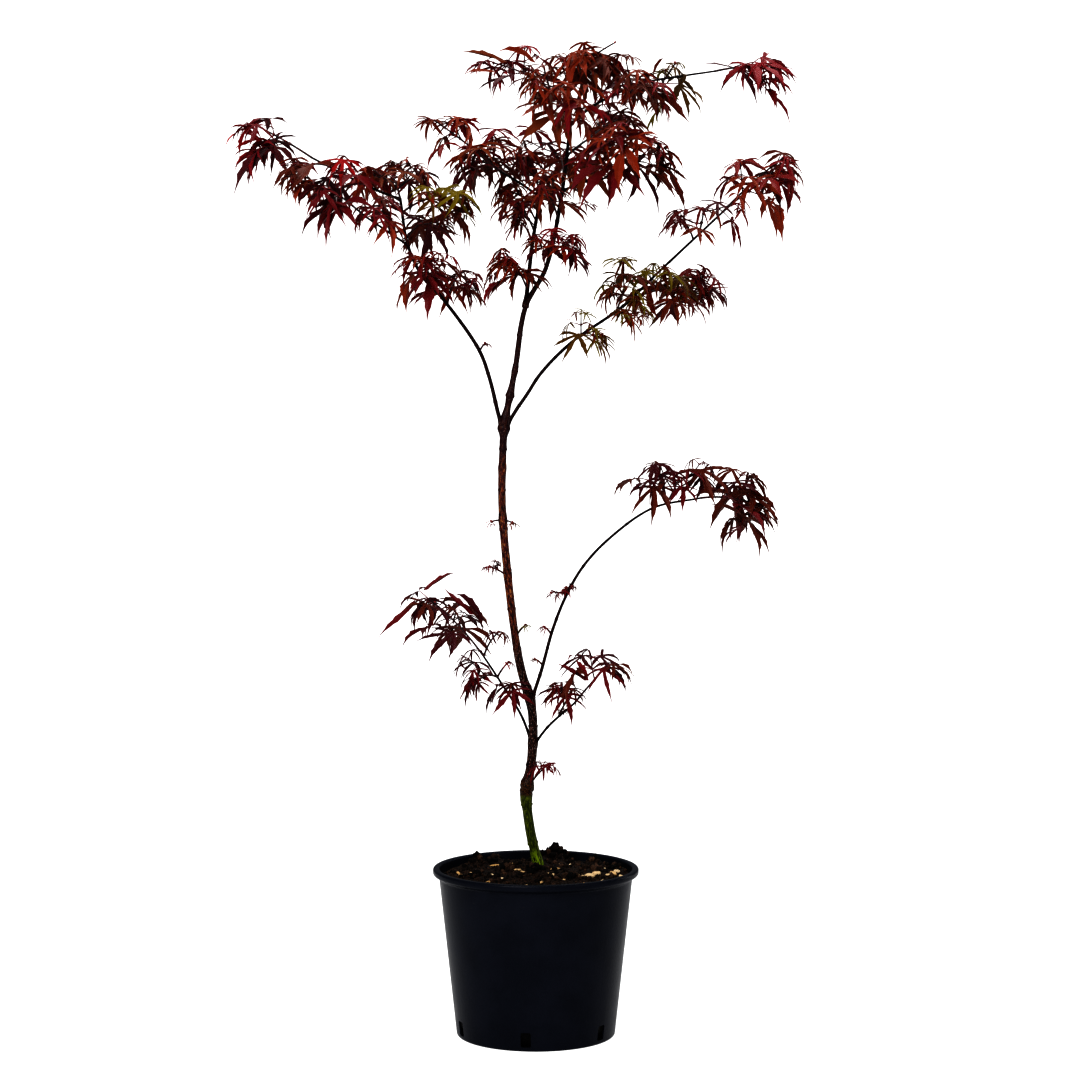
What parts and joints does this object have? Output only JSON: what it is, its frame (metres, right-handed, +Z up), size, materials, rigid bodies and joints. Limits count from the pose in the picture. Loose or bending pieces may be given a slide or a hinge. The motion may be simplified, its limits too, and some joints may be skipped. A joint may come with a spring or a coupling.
{
  "type": "potted japanese maple",
  "caption": "Young grafted japanese maple with deeply cut, hanging burgundy leaves on slim forking boughs, standing in a round black nursery pot with a rolled rim.",
  "frame": {"origin": "middle of the pot's flat underside", "axes": "+Z up; +X to the right of the viewer whom the plant faces; +Y away from that viewer"},
  "size_m": [0.6062, 0.333, 1.0538],
  "materials": {
    "pot": "moulded, soft sheen",
    "soil": "moist crumbs with bark chips",
    "bark": "young bark with fine streaks",
    "leaves_burgundy": "matt leaf",
    "leaves_bronze": "matt leaf",
    "leaves_crimson": "young leaf",
    "leaves_olive": "shaded leaf"
  },
  "bodies": {
    "root": {"pot": "pot", "soil": "soil", "trunk": "bark", "leader": "bark", "leader_left": "bark", "bough_left": "bark", "bough_right": "bark", "far_left": "bark", "left_outer": "bark", "upper_left": "bark", "centre_front": "bark", "centre_back": "bark", "top_right": "bark", "top_left": "bark", "right_lower": "bark", "low_right": "bark", "low_left": "bark", "low_front": "bark", "far_left_spray": "leaves_crimson", "left_mid_spray": "leaves_burgundy", "left_top_spray": "leaves_burgundy", "left_high_spray": "leaves_burgundy", "left_low_spray": "leaves_crimson", "left_under_spray": "leaves_burgundy", "inner_left_low": "leaves_burgundy", "inner_left_back": "leaves_burgundy", "left_centre_spray": "leaves_olive", "left_back_spray": "leaves_burgundy", "upper_left_spray": "leaves_bronze", "upper_left_inner": "leaves_burgundy", "leader_spray": "leaves_burgundy", "top_left_spray": "leaves_crimson", "top_crest": "leaves_bronze", "top_front_spray": "leaves_bronze", "top_inner_spray": "leaves_burgundy", "top_back_spray": "leaves_olive", "far_right_spray": "leaves_crimson", "front_spray": "leaves_burgundy", "back_spray": "leaves_burgundy", "back_left_spray": "leaves_burgundy", "leader_low_left": "leaves_burgundy", "leader_low_right": "leaves_burgundy", "leader_mid_left": "leaves_burgundy", "right_tip_spray": "leaves_crimson", "right_mid_spray": "leaves_burgundy", "right_low_inner": "leaves_olive", "right_low_spray": "leaves_burgundy", "right_low_back": "leaves_olive", "right_low_front": "leaves_olive", "right_small_shoot": "leaves_olive", "low_right_spray": "leaves_burgundy", "low_right_inner": "leaves_burgundy", "low_left_spray": "leaves_burgundy", "low_left_lower": "leaves_burgundy", "low_left_inner": "leaves_burgundy", "low_front_spray": "leaves_burgundy", "graft_shoot": "leaves_crimson", "trunk_tuft": "leaves_crimson", "low_right_tuft": "leaves_crimson", "low_front_inner": "leaves_burgundy"}
  },
  "joints": []
}
